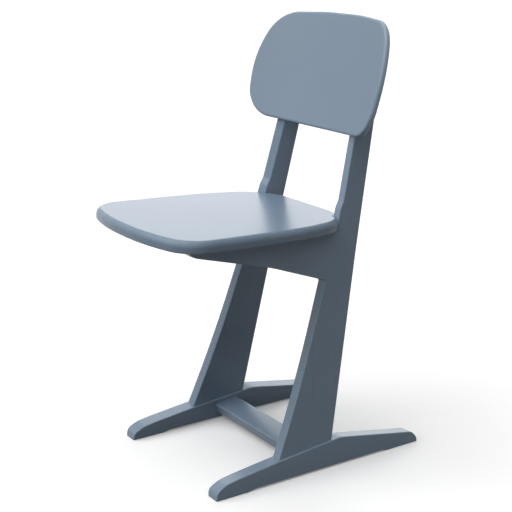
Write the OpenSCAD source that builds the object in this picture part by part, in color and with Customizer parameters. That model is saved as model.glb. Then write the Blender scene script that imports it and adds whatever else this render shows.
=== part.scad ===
// Wooden sled-base desk chair, painted all over
// X runs across the chair with +X on the sitter's left, Y runs to the rear, Z is up
// The origin is on the floor, at the middle of the chair's depth and width

/* [Overall] */
// Depth from the front edge of the seat to the rear ends of the runners
overall_d = 497; // [480:1:520]

/* [Side frames] */
// Thickness of the board that each side frame is cut from
board_t = 20; // [17:1:24]
// Width over the side frames, measured at the floor
stance_w = 309; // [290:1:330]
// Inward lean of each side frame, in degrees
splay = 4.1; // [2:0.1:6]
// Distance from the middle forward to the front of the leg's foot
foot_front = 49; // [42:1:58]
// Distance from the middle back to the rear of the leg's foot
foot_rear = 62; // [54:1:70]
// Height of the fork where the arm leaves the leg
fork_h = 329; // [310:1:340]
// Distance from the middle back to the fork
fork_back = 60; // [50:1:68]
// Radius inside the fork
fork_r = 5; // [2:1:12]
// Distance from the middle forward to the tip of the arm
arm_reach = 206; // [196:1:216]
// Height of the slight knee in the rear edge
knee_h = 380; // [360:1:400]
// Distance from the middle back to the knee
knee_back = 128; // [122:1:134]
// How far the upright's top end lies below the backrest's upper edge
upright_top_drop = 27; // [15:1:50]
// Distance from the middle back to the rear edge at the top end
upright_top_back = 203; // [196:1:210]
// Depth of the upright just above the seat
upright_low_d = 43; // [38:1:48]
// Depth of the upright at the lower edge of the backrest
upright_mid_d = 37.5; // [33:0.5:42]
// Depth of the upright at its top end
upright_top_d = 25; // [22:1:28]
// How far the upright's foot flares forward at the seat
flare_d = 4; // [1:0.5:6]
// Height of that flare above the seat
flare_h = 27; // [18:1:36]
// Bevel of the uprights' fronts towards the curved backrest, in degrees
upright_bevel = 9; // [4:0.5:12]

/* [Runners] */
// Distance from the middle forward to the front end of each runner
runner_reach = 175; // [165:1:190]
// Height of the runner at its crest, behind the leg
crest_h = 49.6; // [44:0.2:56]
// Width of the ledge that the runner leaves on each side of the leg
ledge_w = 4; // [2:0.5:6]
// Depth of the relief under the runner, between its pads
relief_h = 3; // [1:0.5:5]
// Length of the pad under the front end
front_pad_l = 62; // [50:1:80]
// Length of the pad under the rear end
rear_pad_l = 69; // [50:1:85]
// Length of the slope from each pad to the relief
pad_slope_l = 14; // [8:1:20]

/* [Stretcher] */
// Depth of the stretcher
stretcher_d = 45; // [36:1:54]
// Thickness of the stretcher
stretcher_t = 18; // [15:1:20]
// Tilt of the stretcher, rear edge up, in degrees
stretcher_tilt = 9; // [0:0.5:12]
// Clear height under the front edge of the stretcher
stretcher_h = 14; // [10:1:17]

/* [Seat] */
// Width of the seat
seat_w = 328; // [310:1:350]
// Thickness of the seat
seat_t = 20; // [17:1:24]
// Height of the seat's top at the uprights
seat_h = 430; // [422:1:440]
// Tilt of the seat, front edge up, in degrees
seat_tilt = 2.3; // [0:0.1:3]
// Distance from the middle back to the rear edge of the seat
seat_rear = 121; // [114:1:126]
// Radius of the seat's rounded upper edge
seat_round_r = 11; // [5:0.5:12]
// Radius of the seat's lower edge
seat_under_r = 3; // [1:0.5:4.5]

/* [Backrest] */
// Width of the backrest
back_w = 370; // [345:1:388]
// Length of the backrest along its slope
back_l = 201; // [190:1:215]
// Thickness of the backrest
back_t = 10; // [9:0.5:14]
// Radius of the backrest's hollow front
back_r = 470; // [420:10:700]
// Backward lean of the backrest, in degrees
back_lean = 16.2; // [15:0.1:18]
// Height of the backrest's lower edge
back_h = 561.2; // [550:0.2:575]
// Radius of the backrest's rounded edges
back_round_r = 4; // [1:0.5:4.5]

/* [Fasteners] */
// Diameter of the wooden dowels
dowel_dia = 8; // [6:0.5:8]
// Length of the dowels between leg and runner
foot_dowel_l = 50; // [40:1:56]
// Length of the dowels between runner and stretcher
stretcher_dowel_l = 38; // [30:1:42]
// Length of the dowels between arm and seat
seat_dowel_l = 34; // [28:1:36]
// Diameter of the screws
screw_dia = 4.5; // [3.5:0.5:5]
// Diameter of the screw heads
screw_head_dia = 8.4; // [7:0.2:9]
// Height of the screw heads
screw_head_h = 3; // [2:0.2:3.6]
// Length of the screws from the runner into the leg
runner_screw_l = 45; // [40:1:55]
// Length of the screws from the arm into the seat
seat_screw_l = 32; // [28:1:34]
// Length of the screws from the upright into the backrest
back_screw_l = 20; // [16:1:22]
// Diameter of the holes that sink the heads, and of the plugs
sink_dia = 10; // [9.6:0.2:12]
// Depth of the sunk holes under the runners
runner_sink = 16; // [10:1:20]

/* [Fits] */
// Gap at glued faces
glue_gap = 0.1; // [0.05:0.05:0.2]
// Gap round the uprights in the seat's notches
notch_gap = 0.4; // [0.2:0.1:1]
// Gap between a fastener and its hole, on the radius
hole_gap = 0.1; // [0.05:0.05:0.2]

/* [Hidden] */
$fn = 40;

paint = [0.45, 0.55, 0.63];
beech = [0.82, 0.68, 0.49];
zinc = [0.72, 0.73, 0.75];
cut = 40; // overrun that serves every cut
blank_spare = 6; // wood left in front of the uprights before they are bevelled
bevel_sink = 1; // how far below the seat's top the bevel starts
arc_step = 8; // largest turn between the points of an arc, in degrees
arc_side_share = 0.62; // the most of an outline's side that one arc may take

seat_front = overall_d / 2; // forward from the middle
runner_rear = overall_d / 2; // back from the middle
screw_hole_r = screw_dia / 2 + hole_gap;
sink_r = sink_dia / 2;

// Runner's top edge: length share from the front end, height share of the crest, radius share
runner_top_shares = [
    [0, 0.292, 0.4],
    [0.047, 0.488, 0.8],
    [0.106, 0.569, 6],
    [0.298, 0.76, 4],
    [0.6, 1, 1.2],
    [0.974, 0.419, 0.36],
    [1, 0.161, 0.28]
];
foot_corner = 3; // row of that table where the straight stretch under the leg starts
crest_corner = 4; // row where it ends
// Leg's front edge: share of the way from foot to fork, back and up
leg_bend_share = [0.516, 0.459];
leg_bend_r = 2500;
// Arm's lower edge: shares of the way from fork to tip, forward and up, and radii
arm_bend_share = [0.398, 0.413];
arm_bend_r = 300;
arm_nose_share = [0.952, 0.838];
arm_nose_r = 50;
// Flare of the upright's foot: height share, and the part of the flare that is left there
flare_share = [0.57, 0.88];
flare_r = 20;
knee_r = 6000;
top_end_r = 5;

// Seat outline from the middle of the front edge round to the rear: width share of the half
// width, depth share from the front, radius share of the half width
seat_shares = [
    [0.407, 0, 2.51],
    [1.003, 0.073, 0.349],
    [0.996, 0.421, 2.75],
    [0.974, 0.668, 1.913],
    [0.796, 1, 0.558]
];
// Backrest outline from the middle of the lower edge round to the upper one: width share,
// length share and radius share of the half width
back_shares = [
    [0.834, 0, 0.26],
    [0.966, 0.167, 0.3],
    [1.003, 0.542, 0.96],
    [0.817, 0.947, 0.386],
    [0.246, 1, 2.91]
];
round_steps = 4; // rings over each rounded edge
back_step = 14; // longest side of the backrest's outline, so that it follows the curve
back_ring_shares = [0.1, 0.28, 0.46, 0.64, 0.82]; // rings inside the backrest's two faces

// Places along the joints, as shares
foot_dowel_shares = [0.34, 0.66]; // of the foot's depth
foot_screw_shares = [0.12, 0.87];
seat_dowel_shares = [0.36, 0.83]; // of the way from arm tip to upright
seat_screw_shares = [0.22, 0.63];
stretcher_dowel_shares = [0.26, 0.74]; // of the stretcher's depth
back_screw_shares = [0.23, 0.64]; // of the backrest's length
foot_dowel_sink_share = 0.45; // part of the dowel that sits in the runner
seat_dowel_sink_share = 0.36; // part of the dowel that sits in the seat
seat_screw_sink_share = 0.42; // part of the screw that sits in the seat
back_screw_sink_share = 0.35; // part of the screw that sits in the backrest
thread_share = 0.6; // threaded part of a screw's length
core_share = 0.72; // core radius of the thread
dowel_chamfer = 1;
thread_pitch = 2.5;

function lerp(a, b, t) = a + (b - a) * t;
function unit(v) = v / norm(v);
function flat(p) = [p[0], p[1]];
function turned(v, a) = [v[0] * cos(a) - v[1] * sin(a), v[0] * sin(a) + v[1] * cos(a)];

// Points that replace corner b by an arc of radius b[2], shortened where a side is too short
function corner_arc(a, b, c) =
    let (
        u = unit(flat(a) - flat(b)),
        w = unit(flat(c) - flat(b)),
        half = acos(max(-1, min(1, u * w))) / 2,
        room = min(norm(flat(a) - flat(b)), norm(flat(c) - flat(b))) * arc_side_share,
        reach = min(b[2] / tan(half), room),
        r = reach * tan(half),
        centre = flat(b) + unit(u + w) * r / sin(half),
        start = flat(b) + u * reach - centre,
        sweep = 180 - 2 * half,
        side = u[0] * w[1] - u[1] * w[0] > 0 ? -1 : 1,
        steps = max(2, ceil(sweep / arc_step))
    )
    [for (i = [0:steps]) centre + turned(start, side * sweep * i / steps)];

// Outline from corners written as [x, y, radius]
function rounded(p) = [
    for (i = [0:len(p) - 1])
        each p[i][2] > 0
            ? corner_arc(p[(i + len(p) - 1) % len(p)], p[i], p[(i + 1) % len(p)])
            : [flat(p[i])]
];

// Outline drawn in by d; the outline runs counterclockwise
function drawn_in(p, d) = [
    for (i = [0:len(p) - 1])
        let (t = unit(p[(i + 1) % len(p)] - p[(i + len(p) - 1) % len(p)]))
            p[i] + [-t[1], t[0]] * d
];

// Outline with points added along sides longer than step
function stepped(p, step) = [
    for (i = [0:len(p) - 1])
        let (a = p[i], b = p[(i + 1) % len(p)], n = ceil(norm(b - a) / step))
            for (k = [0:n - 1]) lerp(a, b, k / n)
];

// Steps over the two rounded edges of a plate: [how far drawn in, height in the plate]
function edge_steps(t, low_r, high_r) = [
    for (i = [0:round_steps])
        let (a = 90 * i / round_steps) [low_r * (1 - sin(a)), low_r * (1 - cos(a))],
    for (i = [round_steps:-1:0])
        let (a = 90 * i / round_steps) [high_r * (1 - sin(a)), t - high_r * (1 - cos(a))]
];

// Heights and places shared by several pieces
function runner_corner(i) = [
    lerp(-runner_reach, runner_rear, runner_top_shares[i][0]),
    crest_h * runner_top_shares[i][1],
    crest_h * runner_top_shares[i][2]
];
function joint_z(y) =
    let (a = runner_corner(foot_corner), b = runner_corner(crest_corner))
        lerp(a[1], b[1], (y - a[0]) / (b[0] - a[0]));
upright_top_h = back_h + back_l * cos(back_lean) - upright_top_drop;
function rear_y(z) = z < knee_h
    ? lerp(foot_rear, knee_back, (z - joint_z(foot_rear)) / (knee_h - joint_z(foot_rear)))
    : lerp(knee_back, upright_top_back, (z - knee_h) / (upright_top_h - knee_h));
upright_front = rear_y(seat_h) - upright_low_d - flare_d;
function seat_top_z(y) = seat_h + (upright_front - y) * tan(seat_tilt);
function seat_under_z(y) = seat_top_z(y) - seat_t / cos(seat_tilt);
// Depth of the upright without its flare
function upright_d(z) = z < back_h
    ? lerp(upright_low_d, upright_mid_d, (z - seat_h) / (back_h - seat_h))
    : lerp(upright_mid_d, upright_top_d, (z - back_h) / (upright_top_h - back_h));
function front_y(z) = rear_y(z) - upright_d(z);
// Distance from the middle of a plane that lies depth inside the side frame's outer face
function face_x(depth, z) = stance_w / 2 - depth / cos(splay) - z * tan(splay);
// Height in the leaning board's own plane, at its mid-thickness
function board_z(z) = (z + board_t / 2 * sin(splay)) / cos(splay);

// Backrest: distance behind the front surface's middle line at x, for a depth in the plate
function back_n(x, depth) = sqrt(pow(back_r + depth, 2) - x * x) - back_r;
back_y = front_y(back_h) - back_n(face_x(0, back_h), back_t) / cos(back_lean);
// Point of the backrest: x on the front surface, s along the slope, depth in the plate
function back_point(x, s, depth) =
    let (a = asin(x / back_r), n = (back_r + depth) * cos(a) - back_r)
        [(back_r + depth) * sin(a),
         back_y + n * cos(back_lean) + s * sin(back_lean),
         back_h - n * sin(back_lean) + s * cos(back_lean)];

// Puts a piece of the left side into the leaning board's plane; x = 0 is the outer face
module left_side() {
    translate([stance_w / 2, 0, 0])
        rotate([0, -splay, 0])
            children();
}

module right_side() {
    mirror([1, 0, 0])
        left_side()
            children();
}

// Prism across the chair from an outline in depth and height
module side_prism(outline, inner, outer) {
    translate([inner, 0, 0])
        rotate([90, 0, 90])
            linear_extrude(outer - inner)
                polygon(outline);
}

// Closed skin over rings of equally many points, from the lower or rear face to the other
module ringed_solid(rings) {
    n = len(rings[0]);
    last = len(rings) - 1;
    points = [for (ring = rings) each ring];
    skin = [
        for (j = [0:last - 1])
            for (i = [0:n - 1])
                let (k = (i + 1) % n)
                    each [
                        [j * n + i, (j + 1) * n + i, (j + 1) * n + k],
                        [j * n + i, (j + 1) * n + k, j * n + k]
                    ]
    ];
    first_face = [for (i = [0:n - 1]) i];
    last_face = [for (i = [n - 1:-1:0]) last * n + i];
    polyhedron(points, concat(skin, [first_face, last_face]), convexity = 6);
}

// Side frame's outline: leg, arm and upright in one board; the upright's front and the arm's
// top are left with wood to spare, which the cuts below take off
function leg_front_points() =
    let (a = [-foot_front, joint_z(-foot_front)], b = [fork_back, fork_h])
        [
            [a[0], a[1], 0],
            [lerp(a[0], b[0], leg_bend_share[0]), lerp(a[1], b[1], leg_bend_share[1]), leg_bend_r],
            [b[0], b[1], fork_r]
        ];
function arm_points() =
    let (a = [fork_back, fork_h], b = [-arm_reach, seat_under_z(-arm_reach)])
        [
            [lerp(a[0], b[0], arm_bend_share[0]), lerp(a[1], b[1], arm_bend_share[1]), arm_bend_r],
            [lerp(a[0], b[0], arm_nose_share[0]), lerp(a[1], b[1], arm_nose_share[1]), arm_nose_r],
            [b[0], b[1], 0]
        ];
function upright_front_points() =
    let (
        mid = seat_h + flare_h * flare_share[0],
        high = seat_h + flare_h,
        mid_y = front_y(mid) - flare_d * flare_share[1],
        low = seat_h - bevel_sink
    )
        [
            [lerp(mid_y, upright_front, (mid - low) / (mid - seat_h)), low, 0],
            [mid_y, mid, flare_r],
            [front_y(high), high, flare_r],
            [front_y(back_h), back_h, 0],
            [front_y(upright_top_h + cut), upright_top_h + cut, 0]
        ];
function as_board(p) = [for (q = p) [q[0], q[1] / cos(splay), q[2]]];
side_outline = rounded(as_board(concat(
    leg_front_points(),
    arm_points(),
    [
        [-arm_reach, seat_top_z(-arm_reach) - seat_t / 2, 0],
        [upright_front - blank_spare, seat_h - seat_t / 2, 0],
        [front_y(upright_top_h) - blank_spare, upright_top_h, 0],
        [rear_y(upright_top_h), upright_top_h, top_end_r],
        [knee_back, knee_h, knee_r],
        [foot_rear, joint_z(foot_rear), 0]
    ]
)));

module side_blank() {
    side_prism(side_outline, -board_t, 0);
}

// Everything in front of the uprights' bevelled fronts
module bevel_cut() {
    front = rounded(as_board(upright_front_points()));
    region = concat(
        [[-arm_reach - cut, front[0][1]]],
        front,
        [[-arm_reach - cut, front[len(front) - 1][1]]]
    );
    translate([0, upright_front, 0])
        rotate([0, 0, -upright_bevel])
            side_prism(
                [for (p = region) [(p[0] - upright_front) * cos(upright_bevel), p[1]]],
                -board_t - cut,
                cut
            );
}

// The seat's room above the arms, in front of the uprights
module seat_room() {
    far = -seat_front - cut;
    side_prism(
        [
            [far, seat_under_z(far) - glue_gap],
            [upright_front, seat_under_z(upright_front) - glue_gap],
            [upright_front, seat_h + flare_h + cut],
            [far, seat_h + flare_h + cut]
        ],
        -stance_w,
        stance_w
    );
}

// The room in front of the backrest's rear surface
module back_room(grow) {
    translate([0, back_y, back_h])
        rotate([-back_lean, 0, 0])
            translate([0, -back_r, 0])
                cylinder(r = back_r + back_t + grow, h = back_l + cut, $fn = 200);
}

// Wooden dowel along Z, middle at the origin
module dowel(l) {
    r = dowel_dia / 2;
    rotate_extrude()
        polygon([
            [0, -l / 2],
            [r - dowel_chamfer, -l / 2],
            [r, -l / 2 + dowel_chamfer],
            [r, l / 2 - dowel_chamfer],
            [r - dowel_chamfer, l / 2],
            [0, l / 2]
        ]);
}

module dowel_hole(l) {
    translate([0, 0, -l / 2 - hole_gap])
        cylinder(d = dowel_dia + 2 * hole_gap, h = l + 2 * hole_gap);
}

// Round-headed wood screw along Z, pointing up, underside of the head at the origin
module screw(l) {
    r = screw_dia / 2;
    core = r * core_share;
    turns = floor(l * thread_share / thread_pitch);
    start = l - r - turns * thread_pitch;
    thread = [
        for (i = [0:turns - 1])
            each [[core, start + i * thread_pitch], [r, start + (i + 0.5) * thread_pitch]]
    ];
    difference() {
        rotate_extrude()
            polygon(concat(
                [[0, -screw_head_h], [screw_head_dia / 2 - r / 2, -screw_head_h]],
                [[screw_head_dia / 2, -screw_head_h / 2], [screw_head_dia / 2, 0]],
                [[r, 0], [r, start - thread_pitch]],
                thread,
                [[core, l - r], [0, l]]
            ));
        translate([0, 0, -screw_head_h - cut])
            cylinder(r = screw_dia / 2, h = cut + screw_head_h / 2, $fn = 6);
    }
}

// Room for a screw: its hole, and the wider hole that sinks its head
module screw_hole(l) {
    cylinder(r = screw_hole_r, h = l + hole_gap);
    translate([0, 0, -l - cut])
        cylinder(r = sink_r, h = l + cut);
}

// Places of the fasteners in the left board's plane
module at_foot(shares) {
    for (share = shares) {
        y = lerp(-foot_front, foot_rear, share);
        translate([-board_t / 2, y, joint_z(y) / cos(splay)])
            children();
    }
}

module at_arm(shares) {
    for (share = shares) {
        y = lerp(-arm_reach, upright_front, share);
        translate([-board_t / 2, y, board_z(seat_under_z(y))])
            children();
    }
}

module at_runner_screws() {
    for (share = foot_screw_shares)
        translate([-board_t / 2, lerp(-foot_front, foot_rear, share), runner_sink])
            children();
}

module runner_dowel_places() {
    at_foot(foot_dowel_shares)
        translate([0, 0, foot_dowel_l * (0.5 - foot_dowel_sink_share)])
            children();
}

module seat_dowel_places() {
    at_arm(seat_dowel_shares)
        translate([0, 0, seat_dowel_l * (seat_dowel_sink_share - 0.5)])
            children();
}

module seat_screw_places() {
    at_arm(seat_screw_shares)
        translate([0, 0, -seat_screw_l * (1 - seat_screw_sink_share)])
            children();
}

// Screws into the backrest point forward and up, square to its slope
module back_screw_places() {
    for (share = back_screw_shares) {
        s = back_l * share;
        x = face_x(board_t / 2, back_h + s * cos(back_lean));
        n = back_n(x, back_t);
        translate([
            -board_t / 2,
            back_y + n * cos(back_lean) + s * sin(back_lean),
            board_z(back_h - n * sin(back_lean) + s * cos(back_lean))
        ])
            rotate([90 - back_lean, 0, 0])
                translate([0, 0, -back_screw_l * (1 - back_screw_sink_share)])
                    children();
    }
}

// Middle of the stretcher's section, and the places of its dowels at the left runner
stretcher_y = stretcher_d / 2 * cos(stretcher_tilt);
stretcher_z = stretcher_h + stretcher_d / 2 * sin(stretcher_tilt) + stretcher_t / 2 * cos(stretcher_tilt);
module stretcher_dowel_places() {
    for (share = stretcher_dowel_shares) {
        along = stretcher_d * (share - 0.5);
        z = stretcher_z + along * sin(stretcher_tilt);
        translate([face_x(board_t + ledge_w, z), stretcher_y + along * cos(stretcher_tilt), z])
            rotate([0, 90, 0])
                children();
    }
}

module side_frame() {
    difference() {
        left_side()
            side_blank();
        left_side()
            bevel_cut();
        seat_room();
        back_room(glue_gap);
        left_side() {
            runner_dowel_places()
                dowel_hole(foot_dowel_l);
            at_runner_screws()
                cylinder(r = screw_hole_r, h = runner_screw_l + hole_gap);
            seat_dowel_places()
                dowel_hole(seat_dowel_l);
            seat_screw_places()
                screw_hole(seat_screw_l);
            back_screw_places()
                screw_hole(back_screw_l);
        }
    }
}

module side_frame_left() {
    color(paint)
        side_frame();
}

module side_frame_right() {
    color(paint)
        mirror([1, 0, 0])
            side_frame();
}

// Runner's outline, with a foot that is cut off at the floor
runner_outline = rounded(as_board(concat(
    [[-runner_reach, -cut, 0]],
    [for (i = [0:len(runner_top_shares) - 1]) runner_corner(i)],
    [[runner_rear, -cut, 0]]
)));

// Floor, and the relief between the pads, as one outline in depth and height
module floor_cut() {
    front = -runner_reach + front_pad_l;
    rear = runner_rear - rear_pad_l;
    side_prism(
        [
            [-runner_reach - cut, -2 * cut],
            [-runner_reach - cut, 0],
            [front, 0],
            [front + pad_slope_l, relief_h],
            [rear - pad_slope_l, relief_h],
            [rear, 0],
            [runner_rear + cut, 0],
            [runner_rear + cut, -2 * cut]
        ],
        0,
        stance_w
    );
}

module runner() {
    difference() {
        left_side()
            side_prism(runner_outline, -board_t - ledge_w, ledge_w);
        floor_cut();
        left_side() {
            runner_dowel_places()
                dowel_hole(foot_dowel_l);
            at_runner_screws()
                screw_hole(runner_screw_l);
        }
        stretcher_dowel_places()
            dowel_hole(stretcher_dowel_l);
    }
}

module runner_left() {
    color(paint)
        runner();
}

module runner_right() {
    color(paint)
        mirror([1, 0, 0])
            runner();
}

// Board between the runners; its ends follow the lean of the runners' inner faces
module stretcher() {
    beyond = [2 * stance_w, overall_d, overall_d];
    color(paint)
        difference() {
            translate([0, stretcher_y, stretcher_z])
                rotate([stretcher_tilt, 0, 0])
                    cube([stance_w, stretcher_d, stretcher_t], center = true);
            for (flip = [0, 1])
                mirror([flip, 0, 0]) {
                    left_side()
                        translate([-board_t - ledge_w - glue_gap, -overall_d / 2, -overall_d / 2])
                            cube(beyond);
                    stretcher_dowel_places()
                        dowel_hole(stretcher_dowel_l);
                }
        }
}

// Whole outline of a plate from the corners of its right half
function both_halves(half) = concat(
    [for (p = half) p],
    [for (i = [len(half) - 1:-1:0]) [-half[i][0], half[i][1], half[i][2]]]
);
seat_outline = rounded(both_halves([
    for (p = seat_shares)
        [seat_w / 2 * p[0], lerp(-seat_front, seat_rear, p[1]), seat_w / 2 * p[2]]
]));

module seat_plate() {
    rings = [
        for (e = edge_steps(seat_t, seat_under_r, seat_round_r))
            [for (p = drawn_in(seat_outline, e[0])) [p[0], p[1] - upright_front, e[1] - seat_t]]
    ];
    translate([0, upright_front, seat_h])
        rotate([-seat_tilt, 0, 0])
            ringed_solid(rings);
}

module seat_panel() {
    color(paint)
        difference() {
            seat_plate();
            for (flip = [0, 1])
                mirror([flip, 0, 0])
                    left_side() {
                        translate([-board_t - notch_gap, upright_front - notch_gap, 0])
                            cube([board_t + 2 * notch_gap, overall_d, seat_h + flare_h + cut]);
                        seat_dowel_places()
                            dowel_hole(seat_dowel_l);
                        seat_screw_places()
                            cylinder(r = screw_hole_r, h = seat_screw_l + hole_gap);
                    }
        }
}

back_outline = stepped(
    rounded(both_halves([
        for (p = back_shares)
            [back_w / 2 * p[0], back_l * p[1], back_w / 2 * p[2]]
    ])),
    back_step
);

module back_plate() {
    middle = [0, back_l / 2];
    edge = [
        for (e = edge_steps(back_t, back_round_r, back_round_r))
            [for (p = drawn_in(back_outline, e[0])) back_point(p[0], p[1], back_t - e[1])]
    ];
    inside = drawn_in(back_outline, back_round_r);
    rear = [
        for (share = back_ring_shares)
            [for (p = inside) let (q = lerp(middle, p, share)) back_point(q[0], q[1], back_t)]
    ];
    front = [
        for (i = [len(back_ring_shares) - 1:-1:0])
            [
                for (p = inside)
                    let (q = lerp(middle, p, back_ring_shares[i]))
                        back_point(q[0], q[1], 0)
            ]
    ];
    ringed_solid(concat(rear, edge, front));
}

module backrest() {
    color(paint)
        difference() {
            back_plate();
            for (flip = [0, 1])
                mirror([flip, 0, 0])
                    left_side()
                        back_screw_places()
                            cylinder(r = screw_hole_r, h = back_screw_l + hole_gap);
        }
}

module runner_dowels_left() {
    color(beech)
        left_side()
            runner_dowel_places()
                dowel(foot_dowel_l);
}

module runner_dowels_right() {
    color(beech)
        right_side()
            runner_dowel_places()
                dowel(foot_dowel_l);
}

module runner_screws_left() {
    color(zinc)
        left_side()
            at_runner_screws()
                screw(runner_screw_l);
}

module runner_screws_right() {
    color(zinc)
        right_side()
            at_runner_screws()
                screw(runner_screw_l);
}

module stretcher_dowels_left() {
    color(beech)
        stretcher_dowel_places()
            dowel(stretcher_dowel_l);
}

module stretcher_dowels_right() {
    color(beech)
        mirror([1, 0, 0])
            stretcher_dowel_places()
                dowel(stretcher_dowel_l);
}

module seat_dowels_left() {
    color(beech)
        left_side()
            seat_dowel_places()
                dowel(seat_dowel_l);
}

module seat_dowels_right() {
    color(beech)
        right_side()
            seat_dowel_places()
                dowel(seat_dowel_l);
}

module seat_screws_left() {
    color(zinc)
        left_side()
            seat_screw_places()
                screw(seat_screw_l);
}

module seat_screws_right() {
    color(zinc)
        right_side()
            seat_screw_places()
                screw(seat_screw_l);
}

module backrest_screws_left() {
    color(zinc)
        left_side()
            back_screw_places()
                screw(back_screw_l);
}

module backrest_screws_right() {
    color(zinc)
        right_side()
            back_screw_places()
                screw(back_screw_l);
}

// Plugs that fill the sunk holes behind the backrest, flush with the upright's rear edge
module plugs() {
    intersection() {
        side_blank();
        back_screw_places()
            translate([0, 0, -screw_head_h - glue_gap - back_screw_l - cut])
                cylinder(r = sink_r - hole_gap, h = back_screw_l + cut);
    }
}

module backrest_plugs_left() {
    color(paint)
        left_side()
            plugs();
}

module backrest_plugs_right() {
    color(paint)
        right_side()
            plugs();
}

side_frame_left();
side_frame_right();
runner_left();
runner_right();
stretcher();
seat_panel();
backrest();
runner_dowels_left();
runner_dowels_right();
runner_screws_left();
runner_screws_right();
stretcher_dowels_left();
stretcher_dowels_right();
seat_dowels_left();
seat_dowels_right();
seat_screws_left();
seat_screws_right();
backrest_screws_left();
backrest_screws_right();
backrest_plugs_left();
backrest_plugs_right();
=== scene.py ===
from math import acos, asin, atan, cos, pi, radians, sin, sqrt, tan
import bpy
import bmesh
from mathutils import Euler, Matrix, Vector


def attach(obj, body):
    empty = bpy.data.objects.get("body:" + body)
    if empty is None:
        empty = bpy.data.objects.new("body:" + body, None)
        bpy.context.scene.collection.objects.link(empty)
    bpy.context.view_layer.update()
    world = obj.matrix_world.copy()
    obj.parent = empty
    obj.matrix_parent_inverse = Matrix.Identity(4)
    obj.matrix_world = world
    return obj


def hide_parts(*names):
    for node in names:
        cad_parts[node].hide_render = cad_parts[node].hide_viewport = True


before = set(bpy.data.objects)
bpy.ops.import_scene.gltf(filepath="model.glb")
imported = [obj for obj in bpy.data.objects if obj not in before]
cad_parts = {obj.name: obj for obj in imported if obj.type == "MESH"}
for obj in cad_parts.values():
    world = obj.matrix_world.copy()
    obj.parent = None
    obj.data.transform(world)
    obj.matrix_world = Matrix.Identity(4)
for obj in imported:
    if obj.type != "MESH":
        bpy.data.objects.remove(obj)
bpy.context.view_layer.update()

print("scene: frame loaded,", len(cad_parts), "nodes")

# The chair's sizes are millimetres and degrees, in its own frame: x to the sitter's left, y to the rear,
# z up, origin on the floor in the middle. The camera's place, the studio and the finishes are in metres.
millimetre = 0.001

chair = {
    "depth": 497,
    "boardThickness": 20,
    "stanceWidth": 309,
    "splay": 4.1,
    "seatHeight": 430,
    "seatTilt": 2.3,
    "seatThickness": 20,
    "tuck": 1.5,          # how far a hidden end runs on into its neighbour
}

camera = {
    "place": (1.6885, -1.0955, 0.9194),
    "azimuth": 56.85,     # right of the chair's front
    "elevation": 15.78,
    "roll": 0.384,
    "lens": 85.2,
    "sensor": 36,
    "reach": 100,
}


def mix(a, b, t):
    return a + (b - a) * t


def unit(v):
    length = sqrt(v[0] ** 2 + v[1] ** 2)
    return (v[0] / length, v[1] / length)


# Arc that rounds corner b, always with the same number of points
def cornerArc(a, b, c, radius, steps, sideShare=0.62):
    u = unit((a[0] - b[0], a[1] - b[1]))
    w = unit((c[0] - b[0], c[1] - b[1]))
    half = acos(max(-1, min(1, u[0] * w[0] + u[1] * w[1]))) / 2
    sides = [sqrt((p[0] - b[0]) ** 2 + (p[1] - b[1]) ** 2) for p in (a, c)]
    reach = min(radius / tan(half), min(sides) * sideShare)
    r = reach * tan(half)
    m = unit((u[0] + w[0], u[1] + w[1]))
    centre = (b[0] + m[0] * r / sin(half), b[1] + m[1] * r / sin(half))
    start = (b[0] + u[0] * reach - centre[0], b[1] + u[1] * reach - centre[1])
    side = -1 if u[0] * w[1] - u[1] * w[0] > 0 else 1
    points = []
    for i in range(steps + 1):
        turn = side * (pi - 2 * half) * i / steps
        points.append((
            centre[0] + start[0] * cos(turn) - start[1] * sin(turn),
            centre[1] + start[0] * sin(turn) + start[1] * cos(turn)))
    return points


# Outline from corners (x, y, radius); a radius of 0 leaves the corner sharp
def roundedOutline(corners, steps=8):
    points = []
    for i, corner in enumerate(corners):
        if corner[2] > 0:
            points += cornerArc(corners[i - 1], corner, corners[(i + 1) % len(corners)], corner[2], steps)
        else:
            points.append((corner[0], corner[1]))
    return points


# Outline drawn in by d; it runs counterclockwise. The strip stays equally wide round the corners
def drawnIn(outline, d, mostStretch=2):
    points = []
    for i, p in enumerate(outline):
        before, after = outline[i - 1], outline[(i + 1) % len(outline)]
        a = unit((p[0] - before[0], p[1] - before[1]))
        b = unit((after[0] - p[0], after[1] - p[1]))
        t = unit((a[0] + b[0], a[1] + b[1]))
        stretch = 1 / max(1 / mostStretch, t[0] * a[0] + t[1] * a[1])
        points.append((p[0] - t[1] * d * stretch, p[1] + t[0] * d * stretch))
    return points


# Steps over a rounded edge, with a holding ring beside it: how far drawn in, how deep, share of the turn;
# crease is the slope at which the rounding leaves the face
def edgeSteps(radius, steps, hold, crease=0):
    turns = [mix(crease, pi / 2, i / steps) for i in range(steps + 1)]
    curve = [
        (radius * (1 - sin(a)), radius * (cos(crease) - cos(a)), (a - crease) / (pi / 2 - crease))
        for a in turns]
    return [(curve[0][0] + hold, 0, 0)] + curve + [(0, curve[-1][1] + hold, 1)]


def inScene(name, data):
    piece = bpy.data.objects.new(name, data)
    bpy.context.scene.collection.objects.link(piece)
    return piece


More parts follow.
